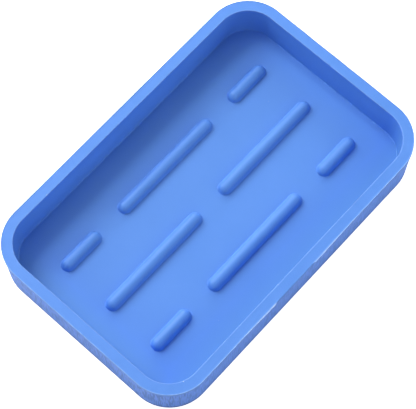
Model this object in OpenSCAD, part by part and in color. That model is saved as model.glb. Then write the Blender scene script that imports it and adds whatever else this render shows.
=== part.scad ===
// Open silicone tray mould with one shallow cavity and raised ribs on its floor.
// Millimetres. +X runs along the long side, +Z up, origin at the middle of the base.
// The ribs run in three rows along X: front (-Y), middle and back (+Y).

/* [Tray] */
// Length over the rim
mould_length = 140; // [100:1:220]
// Width over the rim
mould_width = 91.5; // [70:0.5:150]
// Height from the base to the top of the rim
mould_height = 20; // [14:0.5:45]
// Outside corner radius at the rim
corner_radius = 16.7; // [10:0.1:28]
// Rounding of the outside edge that the mould stands on
base_edge_radius = 0.8; // [0.2:0.1:2]

/* [Wall] */
// Width of the flat top of the wall
rim_width = 4.2; // [2.5:0.1:7]
// How far the outside of the wall leans in from rim to base
outside_draft = 0.4; // [0.1:0.1:2]
// How far the inside of the wall leans in from rim to floor
inside_draft = 0.6; // [0.1:0.1:2]
// Fillet where the wall meets the floor of the cavity
foot_fillet = 0.4; // [0.2:0.1:2.5]

/* [Rim] */
// Depth of the trimmed band along the top of the wall
rim_depth = 1.4; // [0.8:0.1:3]
// How far the trimmed band stands out past the wall below it
rim_lip = 0.2; // [0.1:0.05:0.6]
// Rounding of the two top edges of the rim
rim_edge_radius = 0.2; // [0.1:0.05:0.7]

/* [Floor] */
// Thickness of the floor
floor_thickness = 5.5; // [2:0.1:8]

/* [Ribs] */
// Width of a rib where its flanks meet the floor
rib_width = 5.2; // [2:0.1:9]
// Height of a rib above the floor
rib_height = 2.8; // [1:0.1:4.5]
// Fillet along the foot of a rib
rib_foot_fillet = 0.3; // [0.2:0.1:1]
// Gap between the ends of two ribs in one row
rib_gap = 11.2; // [4:0.1:16]
// Cavity floor left free beyond the ends of each row
row_end_margin = 10.9; // [5:0.1:16]
// Cavity floor left free between an outer row's centre line and the wall
row_side_margin = 18.9; // [10:0.1:22]

/* [Hidden] */
ROWS = ["front", "middle", "back"];
SIDES = ["left", "middle", "right"];

// Flat steps in a quarter turn of a small rounding
arc_steps = 6;
// Facets in a full turn of a tray corner and of a rib end
corner_facets = 96;
rib_end_facets = 48;

// Levels
wall_top = mould_height - rim_depth;
rib_crest = floor_thickness + rib_height;

// Corner centres, which the wall section is carried round
corner_x = mould_length / 2 - corner_radius;
corner_y = mould_width / 2 - corner_radius;

// Lean of each side of the wall
inside_lean = atan2(inside_draft, mould_height - floor_thickness);
outside_lean = atan2(outside_draft, wall_top);

// Wall section, as distances out from a corner centre
outside_top = corner_radius - rim_lip;
outside_base = outside_top - outside_draft;
inside_rim = corner_radius - rim_width;
inside_floor = inside_rim - inside_draft;
panel_reach = inside_floor - tangent_inset(foot_fillet, inside_lean);

// Cavity floor at the foot of the wall, which the ribs are laid out on
cavity_half_length = corner_x + inside_floor;
cavity_half_width = corner_y + inside_floor;

// Rib layout: the middle row has two long ribs, each outer row a long one between two short ones
row_half_length = cavity_half_length - row_end_margin;
long_rib = row_half_length - rib_gap / 2;
short_rib = row_half_length - long_rib / 2 - rib_gap;
row_pitch = cavity_half_width - row_side_margin;

// Rib section: a round crown through the rib's width and height, with a fillet at each foot
crown_radius = (pow(rib_width / 2, 2) + pow(rib_height, 2)) / (2 * rib_height);
crown_centre = rib_height - crown_radius;
fillet_centre = sqrt(pow(crown_radius + rib_foot_fillet, 2) - pow(rib_foot_fillet - crown_centre, 2));
fillet_turn = atan2(rib_foot_fillet - crown_centre, fillet_centre);

silicone_blue = [0.40, 0.62, 0.96];
rib_blue = [0.46, 0.68, 0.98];
rim_blue = [0.50, 0.71, 1.00];

// Distance from a leaning line's end to the centre of a circle that touches it and a level line
function tangent_inset(radius, lean) = radius * (1 - sin(lean)) / cos(lean);

// Inside face of the wall at a height
function inside_at(z) = inside_rim - (mould_height - z) * tan(inside_lean);

// Points on an arc
function arc(centre, radius, from, to, steps = arc_steps) = [
    for (i = [0:steps])
        let (turn = from + (to - from) * i / steps)
        centre + radius * [cos(turn), sin(turn)]
];

module wall_section() {
    base_centre = [outside_base - tangent_inset(base_edge_radius, outside_lean), base_edge_radius];
    foot_centre = [panel_reach, floor_thickness + foot_fillet];
    polygon(concat(
        [[panel_reach, 0]],
        arc(base_centre, base_edge_radius, -90, -outside_lean),
        [[outside_top, wall_top], [inside_at(wall_top), wall_top]],
        arc(foot_centre, foot_fillet, -inside_lean, -90)
    ));
}

module rim_section() {
    edge_inset = tangent_inset(rim_edge_radius, inside_lean);
    edge_level = mould_height - rim_edge_radius;
    polygon(concat(
        [[inside_at(wall_top), wall_top], [corner_radius, wall_top]],
        arc([corner_radius - rim_edge_radius, edge_level], rim_edge_radius, 0, 90),
        arc([inside_rim + edge_inset, edge_level], rim_edge_radius, 90, 180 - inside_lean)
    ));
}

// Carries a section round the tray: four straight sides, each followed by a corner
module around_tray() {
    for (turn = [0:3]) {
        along = turn % 2 == 0 ? corner_x : corner_y;
        out = turn % 2 == 0 ? corner_y : corner_x;
        rotate(90 * turn) {
            translate([-along, out, 0]) rotate([90, 0, 90]) linear_extrude(2 * along) children();
            translate([along, out, 0]) rotate_extrude(angle = 90, $fn = corner_facets) children();
        }
    }
}

module perimeter_wall() {
    color(silicone_blue) around_tray() wall_section();
}

module rim() {
    color(rim_blue) around_tray() rim_section();
}

module floor_panel() {
    color(silicone_blue) linear_extrude(floor_thickness) {
        square([2 * (corner_x + panel_reach), 2 * corner_y], center = true);
        square([2 * corner_x, 2 * (corner_y + panel_reach)], center = true);
        for (x = [-corner_x, corner_x], y = [-corner_y, corner_y])
            translate([x, y]) circle(panel_reach, $fn = corner_facets);
    }
}

// Half of a rib's section, from its centre line out to the foot
function rib_outline() = concat(
    arc([fillet_centre, rib_foot_fillet], rib_foot_fillet, 270, 180 + fillet_turn),
    [for (p = arc([0, crown_centre], crown_radius, fillet_turn, 90, 2 * arc_steps)) if (p.y < rib_height) p]
);

module half_rib_section() {
    polygon(concat([[0, 0]], rib_outline(), [[0, rib_height]]));
}

// A half-round bar of a length along X, its ends rounded like its crown
module rib_bar(rib_length) {
    reach = rib_length / 2 - rib_width / 2;
    for (side = [0, 1])
        rotate(180 * side) {
            translate([-reach, 0, 0]) rotate([90, 0, 90]) linear_extrude(2 * reach) half_rib_section();
            translate([reach, 0, 0]) rotate(-90) rotate_extrude(angle = 180, $fn = rib_end_facets)
                half_rib_section();
        }
}

// One rib by its row and its place in the row
module rib(row, side) {
    outer_row = row != "middle";
    end_rib = side != "middle";
    rib_length = outer_row && end_rib ? short_rib : long_rib;
    x = end_rib ? row_half_length - rib_length / 2 : 0;
    place_x = side == "left" ? -x : x;
    place_y = row == "front" ? -row_pitch : row == "back" ? row_pitch : 0;
    color(rib_blue) translate([place_x, place_y, floor_thickness]) rib_bar(rib_length);
}

floor_panel();
perimeter_wall();
rim();
for (row = ROWS, side = SIDES)
    if (row != "middle" || side != "middle") rib(row, side);
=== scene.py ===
"""Blue silicone tray mould for pouring soap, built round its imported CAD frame.

Metres, +X along the long side, +Z up. The tray is one seamless moulding, so its floor, wall, rim and
ribs are separate pieces that meet without a visible joint.
"""

import math

import bmesh
import bpy
import numpy as np
from mathutils import Matrix, Vector


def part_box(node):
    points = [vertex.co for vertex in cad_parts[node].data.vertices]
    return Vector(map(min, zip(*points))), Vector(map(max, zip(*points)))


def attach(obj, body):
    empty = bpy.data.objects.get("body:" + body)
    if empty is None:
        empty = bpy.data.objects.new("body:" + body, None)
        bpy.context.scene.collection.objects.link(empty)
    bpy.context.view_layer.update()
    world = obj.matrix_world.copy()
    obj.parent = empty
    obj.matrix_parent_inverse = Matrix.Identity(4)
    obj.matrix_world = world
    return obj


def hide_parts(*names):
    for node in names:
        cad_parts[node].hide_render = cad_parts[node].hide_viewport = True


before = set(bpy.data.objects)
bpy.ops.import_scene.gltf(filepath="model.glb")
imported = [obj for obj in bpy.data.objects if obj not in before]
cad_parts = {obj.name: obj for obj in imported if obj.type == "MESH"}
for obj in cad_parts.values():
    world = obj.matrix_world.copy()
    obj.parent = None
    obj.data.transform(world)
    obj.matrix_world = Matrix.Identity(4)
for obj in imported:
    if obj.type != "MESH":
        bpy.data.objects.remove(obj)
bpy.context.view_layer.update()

# ---------------------------------------------------------------------------------------------
# Floor of the tray: the thick flat bottom of the moulding. It is cured against a polished master,
# so it is smooth and satin, with a faint cloudiness in the blue. Close to the front and left walls
# its blue is painted duller, as painted shade.

MM = 0.001
SAME_EDGE = 0.02 * MM
FLOOR_LOW, FLOOR_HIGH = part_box("floor_panel")
RIM_LOW, RIM_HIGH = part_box("rim")


def straight_half(node, axis):
    """Half the straight run of a side: how far along it the node's outermost points reach."""
    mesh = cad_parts[node].data
    points = np.empty(len(mesh.vertices) * 3, np.float32)
    mesh.vertices.foreach_get("co", points)
    points = points.reshape(-1, 3)
    across = points[:, 1 - axis]
    return float(points[across > across.max() - SAME_EDGE][:, axis].max())


CORNER_X = straight_half("rim", 0)
CORNER_Y = straight_half("rim", 1)
CORNER_RADIUS = RIM_HIGH.x - CORNER_X
PANEL_REACH = FLOOR_HIGH.x - CORNER_X


def tray_path(spacing, corner_steps):
    """Corner centres and outward directions once round the tray, starting at the right of the back.

    Each side holds its direction while the centre moves along it. Each corner holds its centre while
    the direction turns a quarter.
    """
    centres, turns = [], []
    ends = [(1, 1), (-1, 1), (-1, -1), (1, -1)]
    for side, (start, end) in enumerate(zip(ends, ends[1:] + ends[:1])):
        first = np.array([start[0] * CORNER_X, start[1] * CORNER_Y])
        last = np.array([end[0] * CORNER_X, end[1] * CORNER_Y])
        steps = max(2, round(float(np.linalg.norm(last - first)) / spacing))
        along = np.arange(steps)[:, None] / steps
        facing = math.pi / 2 * (side + 1)
        centres += [first + (last - first) * along, np.repeat(last[None], corner_steps, 0)]
        turns += [np.full(steps, facing), facing + math.pi / 2 * np.arange(corner_steps) / corner_steps]
    turns = np.concatenate(turns)
    return np.concatenate(centres), np.stack([np.cos(turns), np.sin(turns)], 1)


def grid_faces(rows, columns, close_rows=True, close_columns=True):
    """Quads of a grid of points, whose rows and columns may close on themselves."""
    row = np.arange(rows if close_rows else rows - 1)[:, None]
    column = np.arange(columns if close_columns else columns - 1)[None]
    next_row = (row + 1) % rows
    next_column = (column + 1) % columns
    quads = [row * columns + column, next_row * columns + column,
             next_row * columns + next_column, row * columns + next_column]
    return np.stack([np.broadcast_to(q, quads[0].shape) for q in quads], -1).reshape(-1, 4)


def closed_mesh(name, points, faces):
    """A mesh from points and faces, with its poles merged and its faces outwards."""
    mesh = bpy.data.meshes.new(name)
    mesh.from_pydata(points, [], faces.tolist())
    shell = bmesh.new()
    shell.from_mesh(mesh)
    bmesh.ops.remove_doubles(shell, verts=shell.verts, dist=1e-7)
    bmesh.ops.recalc_face_normals(shell, faces=shell.faces)
    shell.to_mesh(mesh)
    shell.free()
    return mesh


def add_piece(name, points, faces, node, sharp=50):
    """A smooth closed piece that rides on the tray in the place of a node."""
    mesh = closed_mesh(name, points, faces)
    piece = bpy.data.objects.new(name, mesh)
    bpy.context.scene.collection.objects.link(piece)
    mesh.shade_smooth()
    mesh.set_sharp_from_angle(angle=math.radians(sharp))
    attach(piece, "root")
    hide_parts(node)
    return piece


PANEL_RINGS = 14
PANEL_SPACING = 2.5 * MM
PANEL_CORNER_STEPS = 20


def panel_points(rings):
    """Points of the floor: its outline shrunk to a pole on top and again underneath.

    A point is the outline at one place round the tray, times a share of the way out from the middle.
    """
    centres, out = tray_path(PANEL_SPACING, PANEL_CORNER_STEPS)
    outline = centres + out * PANEL_REACH
    share = np.linspace(0, 1, rings)
    share = np.concatenate([share, share[::-1]])
    height = np.repeat([FLOOR_HIGH.z, FLOOR_LOW.z], rings)
    flat = outline[:, None] * share[None, :, None]
    level = np.broadcast_to(height[None, :, None], flat[..., :1].shape)
    return np.concatenate([flat, level], -1).reshape(-1, 3), grid_faces(len(outline), 2 * rings, True, False)


def socket(tree, name, kind, side, value=None):
    """A named socket on a node group."""
    made = tree.interface.new_socket(name=name, in_out=side, socket_type=f"NodeSocket{kind}")
    if value is not None:
        made.default_value = value
    return made


def math_node(tree, operation, first, second=None):
    """One arithmetic step on sockets or numbers."""
    node = tree.nodes.new("ShaderNodeMath")
    node.operation = operation
    for place, value in enumerate((first, second)):
        if isinstance(value, bpy.types.NodeSocket):
            tree.links.new(value, node.inputs[place])
        elif value is not None:
            node.inputs[place].default_value = value
    return node.outputs[0]


def noise_node(tree, vector, scale, detail, roughness):
    """Fractal noise on a vector, centred on a half."""
    node = tree.nodes.new("ShaderNodeTexNoise")
    node.inputs["Detail"].default_value = detail
    node.inputs["Roughness"].default_value = roughness
    tree.links.new(vector, node.inputs["Vector"])
    if isinstance(scale, bpy.types.NodeSocket):
        tree.links.new(scale, node.inputs["Scale"])
    else:
        node.inputs["Scale"].default_value = scale
    return node.outputs["Fac"]


CLOUD_SCALE = 60.0
GRAIN_SCALE = 2500.0
SPECK_SCALE = 160.0
SPECK_SIZE = 0.02


def cured_silicone():
    """Node group for cast silicone: cloudiness in the colour, fine grain in the surface, and specks.

    Cloud is broad noise, Grain is fine noise for the bump, and Speck is a mask of the few bright
    dust grains that cling to the surface.
    """
    tree = bpy.data.node_groups.new("cured_silicone", "ShaderNodeTree")
    socket(tree, "Vector", "Vector", "INPUT")
    socket(tree, "Cloud Scale", "Float", "INPUT", CLOUD_SCALE)
    socket(tree, "Grain Scale", "Float", "INPUT", GRAIN_SCALE)
    socket(tree, "Speck Scale", "Float", "INPUT", SPECK_SCALE)
    socket(tree, "Speck Size", "Float", "INPUT", SPECK_SIZE)
    socket(tree, "Cloud", "Float", "OUTPUT")
    socket(tree, "Grain", "Float", "OUTPUT")
    socket(tree, "Speck", "Float", "OUTPUT")
    inside = tree.nodes.new("NodeGroupInput")
    outside = tree.nodes.new("NodeGroupOutput")
    vector = inside.outputs["Vector"]
    cloud = noise_node(tree, vector, inside.outputs["Cloud Scale"], detail=3.0, roughness=0.55)
    grain = noise_node(tree, vector, inside.outputs["Grain Scale"], detail=2.0, roughness=0.6)
    cells = tree.nodes.new("ShaderNodeTexVoronoi")
    tree.links.new(vector, cells.inputs["Vector"])
    tree.links.new(inside.outputs["Speck Scale"], cells.inputs["Scale"])
    speck = math_node(tree, "LESS_THAN", cells.outputs["Distance"], inside.outputs["Speck Size"])
    tree.links.new(cloud, outside.inputs["Cloud"])
    tree.links.new(grain, outside.inputs["Grain"])
    tree.links.new(speck, outside.inputs["Speck"])
    return tree


CURED_SILICONE = cured_silicone()
DEEP_BLUE = (0.089, 0.267, 0.760, 1)
PALE_BLUE = (0.113, 0.299, 0.812, 1)
DUST = (0.55, 0.66, 0.86, 1)
SILICONE_IOR = 1.41
CLOUD_ROUGHENS = 0.12


def mix_colour(tree, factor, first, second):
    """Blends two colours by a factor."""
    node = tree.nodes.new("ShaderNodeMix")
    node.data_type = "RGBA"
    for place, value in ((0, factor), (6, first), (7, second)):
        if isinstance(value, bpy.types.NodeSocket):
            tree.links.new(value, node.inputs[place])
        else:
            node.inputs[place].default_value = value
    return node.outputs[2]


def silicone(name, roughness, grain_depth, cloud_scale=CLOUD_SCALE, speck_size=SPECK_SIZE,
             blues=(DEEP_BLUE, PALE_BLUE)):
    """Satin blue silicone for one piece. Returns the material, its shader and its colour.

    Cloudiness mixes the two blues, and makes the surface up to CLOUD_ROUGHENS rougher.
    """
    material = bpy.data.materials.new(name)
    material.use_nodes = True
    tree = material.node_tree
    shader = tree.nodes["Principled BSDF"]
    shader.inputs["IOR"].default_value = SILICONE_IOR
    place = tree.nodes.new("ShaderNodeTexCoord")
    group = tree.nodes.new("ShaderNodeGroup")
    group.node_tree = CURED_SILICONE
    group.inputs["Cloud Scale"].default_value = cloud_scale
    group.inputs["Speck Size"].default_value = speck_size
    tree.links.new(place.outputs["Object"], group.inputs["Vector"])
    blue = mix_colour(tree, group.outputs["Cloud"], *blues)
    dusted = mix_colour(tree, group.outputs["Speck"], blue, DUST)
    tree.links.new(dusted, shader.inputs["Base Color"])
    spread = math_node(tree, "MULTIPLY", group.outputs["Cloud"], CLOUD_ROUGHENS)
    rough = math_node(tree, "ADD", spread, roughness - CLOUD_ROUGHENS / 2)
    tree.links.new(rough, shader.inputs["Roughness"])
    bump = tree.nodes.new("ShaderNodeBump")
    bump.inputs["Distance"].default_value = grain_depth
    tree.links.new(group.outputs["Grain"], bump.inputs["Height"])
    tree.links.new(bump.outputs["Normal"], shader.inputs["Normal"])
    return material, shader, dusted


def ramp_node(tree, value, start, end, top=1.0):
    """Straight ramp of a socket, from 0 at its start to its top at its end, held flat beyond them."""
    node = tree.nodes.new("ShaderNodeMapRange")
    node.inputs["From Min"].default_value = start
    node.inputs["From Max"].default_value = end
    node.inputs["To Max"].default_value = top
    tree.links.new(value, node.inputs["Value"])
    return node.outputs["Result"]


# Painted shade on the cavity: its blue is painted duller close to the front and left walls.
PAINTED_SHADE_BLUE = (0.101, 0.283, 0.684, 1)
SHADE_FRONT_START = -31.3 * MM
SHADE_FRONT_FULL = -37.8 * MM
SHADE_LEFT_START = -56.4 * MM
SHADE_LEFT_FULL = -61.4 * MM
SHADE_LEFT_TOP = 0.8


def shaded_floor_silicone():
    """Silicone of the cavity, with painted shade: its blue is painted a little duller close to the
    front and left walls, to hold down the blue light that bounces between those walls and the floor.

    The painted shade is the larger of two ramps, one that grows towards the front and one towards
    the left.
    """
    material, shader, blue = silicone("floor_silicone", roughness=0.56, grain_depth=0.01 * MM,
                                      speck_size=0.012)
    tree = material.node_tree
    place = tree.nodes.new("ShaderNodeTexCoord")
    axes = tree.nodes.new("ShaderNodeSeparateXYZ")
    tree.links.new(place.outputs["Object"], axes.inputs["Vector"])
    front = ramp_node(tree, axes.outputs["Y"], SHADE_FRONT_START, SHADE_FRONT_FULL)
    left = ramp_node(tree, axes.outputs["X"], SHADE_LEFT_START, SHADE_LEFT_FULL, SHADE_LEFT_TOP)
    painted_shade = math_node(tree, "MAXIMUM", front, left)
    tree.links.new(mix_colour(tree, painted_shade, blue, PAINTED_SHADE_BLUE), shader.inputs["Base Color"])
    return material


floor_points, floor_faces = panel_points(PANEL_RINGS)
tray_floor = add_piece("tray_floor", floor_points, floor_faces, "floor_panel")
FLOOR_SILICONE = shaded_floor_silicone()
tray_floor.data.materials.append(FLOOR_SILICONE)

# ---------------------------------------------------------------------------------------------
# Wall of the tray: the upright side, cast with the floor. Both faces lean so that it leaves its
# master. It is rounded where it stands, filleted into the floor, and marked upright on its outside.

WALL_LOW, WALL_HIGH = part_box("perimeter_wall")
RIM_WIDTH = 4.2 * MM
INSIDE_DRAFT = 0.6 * MM
OUTSIDE_DRAFT = 0.4 * MM
BASE_EDGE_RADIUS = 0.8 * MM
WALL_SPACING = 2 * MM
WALL_CORNER_STEPS = 24

INSIDE_LEAN = math.atan2(INSIDE_DRAFT, RIM_HIGH.z - FLOOR_HIGH.z)
OUTSIDE_LEAN = math.atan2(OUTSIDE_DRAFT, WALL_HIGH.z)
OUTSIDE_TOP = WALL_HIGH.x - CORNER_X
INSIDE_RIM = CORNER_RADIUS - RIM_WIDTH
INSIDE_FLOOR = INSIDE_RIM - INSIDE_DRAFT
FOOT_FILLET = (INSIDE_FLOOR - PANEL_REACH) * math.cos(INSIDE_LEAN) / (1 - math.sin(INSIDE_LEAN))


def inside_at(height):
    """Inside face of the wall at a height, as a distance out from a corner centre."""
    return INSIDE_RIM - (RIM_HIGH.z - height) * math.tan(INSIDE_LEAN)


def arc(centre, radius, start, end, steps):
    """Points on an arc, from one angle to another in radians."""
    turn = np.linspace(start, end, steps + 1)
    return np.stack([centre[0] + radius * np.cos(turn), centre[1] + radius * np.sin(turn)], 1)


def line(start, end, steps):
    """Points on a straight run, without its two ends."""
    share = np.arange(1, steps)[:, None] / steps
    return np.array(start) + (np.array(end) - np.array(start)) * share


def wall_profile():
    """Closed section of the wall: flat base, rounded edge, outside, top, inside and foot fillet."""
    touch = BASE_EDGE_RADIUS * (1 - math.sin(OUTSIDE_LEAN)) / math.cos(OUTSIDE_LEAN)
    base_centre = (OUTSIDE_TOP - OUTSIDE_DRAFT - touch, BASE_EDGE_RADIUS)
    foot_centre = (PANEL_REACH, FLOOR_HIGH.z + FOOT_FILLET)
    base_edge = arc(base_centre, BASE_EDGE_RADIUS, -math.pi / 2, -OUTSIDE_LEAN, 8)
    foot = arc(foot_centre, FOOT_FILLET, -INSIDE_LEAN, -math.pi / 2, 10)
    top_outside = (OUTSIDE_TOP, WALL_HIGH.z)
    top_inside = (inside_at(WALL_HIGH.z), WALL_HIGH.z)
    return np.concatenate([
        [(PANEL_REACH, 0)], line((PANEL_REACH, 0), base_edge[0], 4), base_edge,
        line(base_edge[-1], top_outside, 14), [top_outside], [top_inside],
        line(top_inside, foot[0], 12), foot,
    ])


def carry_round(profile, spacing, corner_steps):
    """A closed section carried once round the tray: corner centre plus outward distance, and height."""
    centres, out = tray_path(spacing, corner_steps)
    flat = centres[:, None] + out[:, None] * profile[None, :, :1]
    level = np.broadcast_to(profile[None, :, 1:], flat[..., :1].shape)
    return np.concatenate([flat, level], -1).reshape(-1, 3), grid_faces(len(centres), len(profile))


# Painted light on the wall's outside: its base blue is lighter than the cavity's, partly for the light the
# front wall catches; the marks are drawn stronger on the left wall as painted shade; and the foot is painted
# darker as a contact shadow.
WALL_BLUES = ((0.150, 0.328, 0.925, 1), (0.162, 0.346, 0.960, 1))
MARK_AND_SHADE_BLUE = (0.068, 0.198, 0.62, 1)
FOOT_SHADOW_BLUE = (0.030, 0.072, 0.24, 1)
MARK_SCALE = 2200.0
MARK_FAINT = 0.46
MARK_FULL = 0.58
MARK_STRETCH = 0.07
MARK_DEPTH = 0.04 * MM
MARKS_LEFT_WITH_SHADE = 0.85
MARKS_ELSEWHERE = 0.48
FOOT_SHADOW_STRENGTH = 0.9
FOOT_SHADOW_HEIGHT = 3.2 * MM


def wall_silicone():
    """Silicone of the wall's outside: fine upright draw marks, and a painted contact shadow at the foot.

    Its base blue is lighter than the cavity's: partly the chalky finish of the outside, partly painted
    light for the light that the front wall catches. Noise stretched along Z gives the marks. They show
    as darker strokes, as strong as the wall's mark attribute, and as fine ridges; that attribute grows
    towards the left wall, where the stronger strokes are painted shade. The foot darkens with the
    wall's "foot" value, a painted contact shadow.
    """
    material, shader, _ = silicone("wall_outside_silicone", roughness=0.54, grain_depth=0.02 * MM,
                                   blues=WALL_BLUES)
    tree = material.node_tree
    blue = shader.inputs["Base Color"].links[0].from_socket
    place = tree.nodes.new("ShaderNodeTexCoord")
    stretch = tree.nodes.new("ShaderNodeMapping")
    stretch.inputs["Scale"].default_value = (1, 1, MARK_STRETCH)
    tree.links.new(place.outputs["Object"], stretch.inputs["Vector"])
    marks = noise_node(tree, stretch.outputs["Vector"], MARK_SCALE, detail=2.0, roughness=0.5)
    strokes = ramp_node(tree, marks, MARK_FAINT, MARK_FULL)
    marks_and_left_shade = tree.nodes.new("ShaderNodeAttribute")
    marks_and_left_shade.attribute_name = "marks_and_left_shade"
    foot = tree.nodes.new("ShaderNodeAttribute")
    foot.attribute_name = "foot"
    streaks = math_node(tree, "MULTIPLY", strokes, marks_and_left_shade.outputs["Fac"])
    marked_and_shaded = mix_colour(tree, streaks, blue, MARK_AND_SHADE_BLUE)
    tree.links.new(mix_colour(tree, foot.outputs["Fac"], marked_and_shaded, FOOT_SHADOW_BLUE), shader.inputs["Base Color"])
    ridges = tree.nodes.new("ShaderNodeBump")
    ridges.inputs["Distance"].default_value = MARK_DEPTH
    tree.links.new(marks, ridges.inputs["Height"])
    tree.links.new(shader.inputs["Normal"].links[0].from_socket, ridges.inputs["Normal"])
    tree.links.new(ridges.outputs["Normal"], shader.inputs["Normal"])
    return material


wall_section = wall_profile()
wall_points, wall_faces = carry_round(wall_section, WALL_SPACING, WALL_CORNER_STEPS)
tray_wall = add_piece("tray_wall", wall_points, wall_faces, "perimeter_wall")
tray_wall.data.materials.append(FLOOR_SILICONE)
tray_wall.data.materials.append(wall_silicone())
section_middle = (wall_section + np.roll(wall_section, -1, 0)) / 2
outside = section_middle[:, 0] > OUTSIDE_TOP - OUTSIDE_DRAFT - BASE_EDGE_RADIUS
outside &= section_middle[:, 1] < WALL_HIGH.z
faces_round = len(wall_faces) // len(wall_section)
tray_wall.data.polygons.foreach_set("material_index", np.tile(outside, faces_round).astype(np.int32))
# The marks are strongest on the left wall, where they paint shade; the foot fades out of a painted contact
# shadow over its lowest few millimetres.
to_left = np.clip((-wall_points[:, 0] - CORNER_X) / CORNER_RADIUS, 0, 1)
marks_and_left_shade = MARKS_ELSEWHERE + (MARKS_LEFT_WITH_SHADE - MARKS_ELSEWHERE) * to_left
foot = FOOT_SHADOW_STRENGTH * np.clip(1 - wall_points[:, 2] / FOOT_SHADOW_HEIGHT, 0, 1)
tray_wall.data.attributes.new("marks_and_left_shade", "FLOAT", "POINT").data.foreach_set("value", marks_and_left_shade)
tray_wall.data.attributes.new("foot", "FLOAT", "POINT").data.foreach_set("value", foot)

# ---------------------------------------------------------------------------------------------
# Rim: the top band of the wall, where the silicone was poured and levelled. Its outer edge was
# trimmed by hand, which leaves a fine raised flash. On the front side the knife cut it off flush for
# a short way, and the flash stands out a little at both ends of that cut.

RIM_EDGE_RADIUS = 0.2 * MM
TRIM_RADIUS = 0.12 * MM
INNER_BAND = 0.15 * MM
TOP_TOLERANCE = 0.01 * MM
FLASH_HEIGHT = 0.24 * MM
FLASH_LOWEST = 0.45
FLASH_WIDTH = 0.4 * MM
FLASH_LEFT_IN_CUT = 0.1
RAGGED_LOWEST = 0.5
CUT_START = -16.2 * MM
CUT_END = 4.2 * MM
CUT_SHARPNESS = 0.2 * MM
CUT_DEPTH = 0.15 * MM
SWELL_OUT = 0.3 * MM
SWELL_LENGTH = 12 * MM
END_WAVE = 0.16 * MM
SHORT_WAVE = 5.5 * MM
LONG_WAVE = 17 * MM
# The inner edge of the rim is painted paler as a highlight.
INNER_HIGHLIGHT = 0.35
RIM_SPACING = 0.5 * MM
RIM_CORNER_STEPS = 40
RIM_BLUES = ((0.090, 0.268, 0.780, 1), (0.114, 0.300, 0.832, 1))
# A pale blue painted along the rim's edges with patchy strength: a painted highlight, which on the outer
# flash is also its whitish trimmed tone.
EDGE_HIGHLIGHT_BLUE = (0.50, 0.66, 0.92, 1)
EDGE_HIGHLIGHT_STRENGTH = 0.75
PATCH_SCALE = 900.0
PATCH_LEAST = 0.1


def rim_profile():
    """Closed section of the rim, with rounded top edges.

    Also returns how much each point is flash, which grows with the square of the way out to the outer
    edge, and whether each point lies on the inner edge.
    """
    touch = RIM_EDGE_RADIUS * (1 - math.sin(INSIDE_LEAN)) / math.cos(INSIDE_LEAN)
    level = RIM_HIGH.z - RIM_EDGE_RADIUS
    low_inside = (inside_at(WALL_HIGH.z), WALL_HIGH.z)
    low_outside = (CORNER_RADIUS, WALL_HIGH.z)
    outer = arc((CORNER_RADIUS - TRIM_RADIUS, RIM_HIGH.z - TRIM_RADIUS), TRIM_RADIUS, 0, math.pi / 2, 4)
    inner = arc((INSIDE_RIM + touch, level), RIM_EDGE_RADIUS, math.pi / 2, math.pi - INSIDE_LEAN, 8)
    flash_foot = (CORNER_RADIUS - TRIM_RADIUS - FLASH_WIDTH, RIM_HIGH.z)
    inner_foot = (inner[0, 0] + INNER_BAND, RIM_HIGH.z)
    points = np.concatenate([
        [low_inside], line(low_inside, low_outside, 4), [low_outside],
        line(low_outside, outer[0], 4), outer, line(outer[-1], flash_foot, 5), [flash_foot],
        line(flash_foot, inner_foot, 8), [inner_foot], inner, line(inner[-1], low_inside, 3),
    ])
    on_top = points[:, 1] > level - TOP_TOLERANCE
    flash = np.clip((points[:, 0] - flash_foot[0]) / FLASH_WIDTH, 0, 1) ** 2 * on_top
    inner_edge = (points[:, 0] < inner[0, 0] + TOP_TOLERANCE) & on_top
    return points, flash, inner_edge.astype(float)


def smooth_random(count, every, seed):
    """Seeded random heights from 0 to 1 at every few steps of a closed path, eased between them."""
    knots = np.random.default_rng(seed).random(max(4, count // every))
    place = np.linspace(0, len(knots), count, endpoint=False)
    before = place.astype(int)
    share = place - before
    share = share * share * (3 - 2 * share)
    return knots[before] * (1 - share) + knots[(before + 1) % len(knots)] * share


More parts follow.
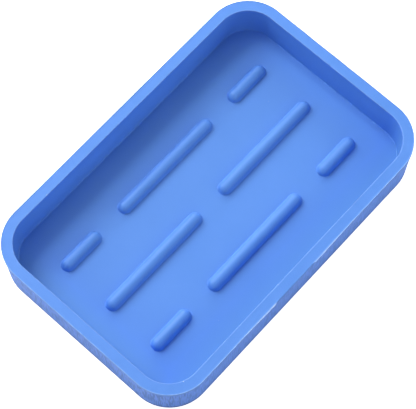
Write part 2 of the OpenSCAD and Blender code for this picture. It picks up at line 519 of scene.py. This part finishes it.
def rim_points():
    """The rim's section carried round the tray, with its flash, cut, swell and wave added.

    Flash lifts the outer edge by a random height. The cut is a product of two steps along the front
    side, and takes the flash off. The swell pushes the edge out, and falls off as a bell curve away
    from each end of the cut. The wave moves the right end's edge in and out along two sines. Also
    returns how pale each point is painted: along the flash this is partly the whitish tone of the
    trimmed silicone and partly a painted highlight, brightest at the swollen ends of the cut; along
    the inner edge it is a painted highlight only.
    """
    profile, flash, inner_edge = rim_profile()
    centres, out = tray_path(RIM_SPACING, RIM_CORNER_STEPS)
    count = len(centres)
    edge = centres + out * CORNER_RADIUS
    ragged = RAGGED_LOWEST + (1 - RAGGED_LOWEST) * smooth_random(count, every=6, seed=5)
    height = FLASH_LOWEST + (1 - FLASH_LOWEST) * smooth_random(count, every=40, seed=3)
    height = FLASH_HEIGHT * height * ragged
    on_front = edge[:, 1] < -CORNER_Y - 0.9 * CORNER_RADIUS
    past_start = (1 + np.tanh((edge[:, 0] - CUT_START) / CUT_SHARPNESS)) / 2
    before_end = (1 - np.tanh((edge[:, 0] - CUT_END) / CUT_SHARPNESS)) / 2
    cut = past_start * before_end * on_front
    beyond = np.maximum(CUT_START - edge[:, 0], 0) + np.maximum(edge[:, 0] - CUT_END, 0)
    swell = np.exp(-(beyond / SWELL_LENGTH) ** 2) * (1 - cut) * on_front
    right = np.clip((edge[:, 0] - CORNER_X) / CORNER_RADIUS, 0, 1)
    wave = END_WAVE * right * np.sin(edge[:, 1] / SHORT_WAVE) * np.sin(edge[:, 1] / LONG_WAVE + 1)
    push = SWELL_OUT * swell - CUT_DEPTH * cut - np.abs(wave) / 2
    distance = profile[None, :, 0] + flash[None] * push[:, None]
    flat = centres[:, None] + out[:, None] * distance[..., None]
    uncut = 1 - (1 - FLASH_LEFT_IN_CUT) * cut
    level = profile[None, :, 1] + flash[None] * (height * uncut)[:, None]
    # Paler along the flash, partly its whitish tone and partly a painted highlight that is brightest at the
    # swollen ends of the cut; the inner edge gets a painted highlight.
    pale = flash[None] * (ragged * uncut * (1 + swell))[:, None] + INNER_HIGHLIGHT * inner_edge[None]
    points = np.concatenate([flat, level[..., None]], -1).reshape(-1, 3)
    return points, grid_faces(count, len(profile)), pale.reshape(-1)


def highlighted_rim_silicone():
    """Silicone of the rim, paler along the outer flash and the inner edge: on the flash partly the
    whitish tone of the thin trimmed silicone and partly a painted highlight, on the inner edge a
    painted highlight where the rounded edge catches the light.
    """
    material, shader, blue = silicone("rim_silicone", roughness=0.5, grain_depth=0.03 * MM,
                                      cloud_scale=220.0, speck_size=0.03, blues=RIM_BLUES)
    tree = material.node_tree
    edge = tree.nodes.new("ShaderNodeAttribute")
    edge.attribute_name = "edge"
    place = tree.nodes.new("ShaderNodeTexCoord")
    patchy = noise_node(tree, place.outputs["Object"], PATCH_SCALE, detail=2.0, roughness=0.6)
    pale = math_node(tree, "MULTIPLY", edge.outputs["Fac"], math_node(tree, "ADD", patchy, PATCH_LEAST))
    pale = math_node(tree, "MULTIPLY", pale, EDGE_HIGHLIGHT_STRENGTH)
    tree.links.new(mix_colour(tree, pale, blue, EDGE_HIGHLIGHT_BLUE), shader.inputs["Base Color"])
    return material


rim_grid, rim_faces, rim_pale_and_highlight = rim_points()
tray_rim = add_piece("tray_rim", rim_grid, rim_faces, "rim")
tray_rim.data.attributes.new("edge", "FLOAT", "POINT").data.foreach_set("value", rim_pale_and_highlight)
tray_rim.data.materials.append(highlighted_rim_silicone())

# ---------------------------------------------------------------------------------------------
# Ribs: half-round bars standing on the floor in three rows, which cast the drain grooves. They are
# moulded with the floor, so a small fillet runs all round each foot.

RIB_FOOT_FILLET = 0.3 * MM
RIB_SPACING = 1.5 * MM
RIB_END_STEPS = 24


def rib_profile(reach, height):
    """Closed section of half a rib: crown, flank, foot fillet, and back along its base.

    The crown's circle passes through the crest and touches the foot fillet's circle, whose reach and
    height fix its radius.
    """
    crown = (reach ** 2 + height ** 2) / (2 * height) - RIB_FOOT_FILLET
    middle = height - crown
    turn = math.atan2(RIB_FOOT_FILLET - middle, reach)
    top = arc((0, middle), crown, math.pi / 2, turn, 16)
    foot = arc((reach, RIB_FOOT_FILLET), RIB_FOOT_FILLET, math.pi + turn, 1.5 * math.pi, 6)
    return np.concatenate([top, foot[1:], line((reach, 0), (0, 0), 3), [(0, 0)]])


def rib_points(low, high):
    """A rib's section carried round a spine with two half-round ends, from its box.

    The outward direction turns half a circle at each end of the spine, and holds along its sides.
    """
    middle = (low + high) / 2
    reach = (high.y - low.y) / 2
    spine = (high.x - low.x) / 2 - reach
    profile = rib_profile(reach, high.z - low.z)
    side_steps = max(2, round(2 * spine / RIB_SPACING))
    turn = math.pi * np.arange(RIB_END_STEPS) / RIB_END_STEPS - math.pi / 2
    along = spine - 2 * spine * np.arange(side_steps) / side_steps
    turns = np.concatenate([turn, np.full(side_steps, math.pi / 2), turn + math.pi,
                            np.full(side_steps, -math.pi / 2)])
    end = np.full(RIB_END_STEPS, spine)
    spines = np.concatenate([end, along, -end, -along])
    x = middle.x + spines[:, None] + np.cos(turns)[:, None] * profile[None, :, 0]
    y = middle.y + np.sin(turns)[:, None] * profile[None, :, 0]
    z = np.broadcast_to(low.z + profile[None, :, 1], x.shape)
    faces = grid_faces(len(turns), len(profile), True, False)
    return np.stack([x, y, z], -1).reshape(-1, 3), faces


RIB_SILICONE = silicone("rib_silicone", roughness=0.5, grain_depth=0.01 * MM)[0]
for node in sorted(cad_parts):
    if node.startswith("rib_"):
        grid, faces = rib_points(*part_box(node))
        bar = add_piece(node.replace("rib_", "drain_rib_"), grid, faces, node)
        bar.data.materials.append(RIB_SILICONE)

# ---------------------------------------------------------------------------------------------
# Studio: a thin white sweep with a window under the tray, soft lights all round, one more below the
# window for the underside, and the camera above the front left corner.

SWEEP_REACH = 3.0
SWEEP_SPACING = 20 * MM
SWEEP_THICKNESS = 0.5 * MM
WINDOW_MARGIN = 2 * MM
SWEEP_GLOW = 0.05


def white_to_camera(tree, strength, others):
    """Glow of 1 for what the lens sees directly, and a lower one for the light it casts around."""
    path = tree.nodes.new("ShaderNodeLightPath")
    seen = math_node(tree, "MULTIPLY", path.outputs["Is Camera Ray"], 1.0 - others)
    tree.links.new(math_node(tree, "ADD", seen, others), strength)


def sweep_profile():
    """Closed section of the sweep: a thin sheet from just inside the foot of the tray out to its edge."""
    near = OUTSIDE_TOP - OUTSIDE_DRAFT - WINDOW_MARGIN
    return np.array([(near, 0), (near, -SWEEP_THICKNESS), (SWEEP_REACH, -SWEEP_THICKNESS), (SWEEP_REACH, 0)])


sweep_points, sweep_faces = carry_round(sweep_profile(), SWEEP_SPACING, WALL_CORNER_STEPS)
sweep = bpy.data.objects.new("studio_sweep", closed_mesh("studio_sweep", sweep_points, sweep_faces))
bpy.context.scene.collection.objects.link(sweep)
sweep_material = bpy.data.materials.new("sweep_paper")
sweep_material.use_nodes = True
sweep_shader = sweep_material.node_tree.nodes["Principled BSDF"]
sweep_shader.inputs["Base Color"].default_value = (0.9, 0.9, 0.9, 1)
sweep_shader.inputs["Roughness"].default_value = 0.9
sweep_shader.inputs["Specular IOR Level"].default_value = 0.0
sweep_shader.inputs["Emission Color"].default_value = (1, 1, 1, 1)
white_to_camera(sweep_material.node_tree, sweep_shader.inputs["Emission Strength"], SWEEP_GLOW)
sweep.data.materials.append(sweep_material)

world = bpy.data.worlds.new("studio")
bpy.context.scene.world = world
world.use_nodes = True
background = world.node_tree.nodes["Background"]
background.inputs["Color"].default_value = (1, 1, 1, 1)
white_to_camera(world.node_tree, background.inputs["Strength"], 0.0)


def soft_light(name, azimuth, elevation, distance, size, power):
    """A square soft light aimed at the tray from a compass direction and a height, in degrees."""
    turn, rise = math.radians(azimuth), math.radians(elevation)
    direction = np.array([math.cos(turn) * math.cos(rise), math.sin(turn) * math.cos(rise), math.sin(rise)])
    lamp = bpy.data.lights.new(name, "AREA")
    lamp.shape = "SQUARE"
    lamp.size = size
    lamp.energy = power
    holder = bpy.data.objects.new(name, lamp)
    bpy.context.scene.collection.objects.link(holder)
    holder.location = direction * distance
    holder.rotation_mode = "QUATERNION"
    holder.rotation_quaternion = Vector(direction).to_track_quat("Z", "Y")
    return holder


LIGHT_DISTANCE = 1.5
LIGHT_SIZE = 0.8
SOFT_LIGHTS = [
    ("key_light_back", 90, 45, 14.9), ("back_high", 90, 68, 4.1), ("back_low", 90, 20, 4.8),
    ("right_back_low", 45, 20, 10.3), ("right_back", 45, 45, 0.9), ("right_front_low", 315, 20, 6.2),
    ("left_back_low", 135, 20, 4.2), ("left_back", 135, 45, 0.6), ("left_front_low", 225, 20, 4.2),
    ("front", 270, 45, 2.5), ("right_high", 0, 68, 0.8), ("under_window", 0, -90, 22.0),
]
for name, azimuth, elevation, power in SOFT_LIGHTS:
    soft_light(name, azimuth, elevation, LIGHT_DISTANCE, LIGHT_SIZE, power)

CAMERA_LOOKS = 48.21
CAMERA_RISE = 69.092
CAMERA_ROLL = -0.386
CAMERA_DISTANCE = 623.25 * MM
AIM = (-1.94 * MM, -0.8 * MM, 10 * MM)
LENS_LENGTH = 148.75
SENSOR_WIDTH = 36.0

look, rise = math.radians(CAMERA_LOOKS), math.radians(CAMERA_RISE)
forward = Vector((math.sin(look) * math.cos(rise), math.cos(look) * math.cos(rise), -math.sin(rise)))
lens = bpy.data.cameras.new("camera")
lens.lens = LENS_LENGTH
lens.sensor_width = SENSOR_WIDTH
camera = bpy.data.objects.new("camera", lens)
bpy.context.scene.collection.objects.link(camera)
camera.rotation_mode = "QUATERNION"
camera.rotation_quaternion = (
    Matrix.Rotation(math.radians(CAMERA_ROLL), 3, forward) @ forward.to_track_quat("-Z", "Y").to_matrix()
).to_quaternion()
camera.location = Vector(AIM) - forward * CAMERA_DISTANCE
bpy.context.scene.camera = camera
bpy.context.scene.view_settings.view_transform = "Standard"
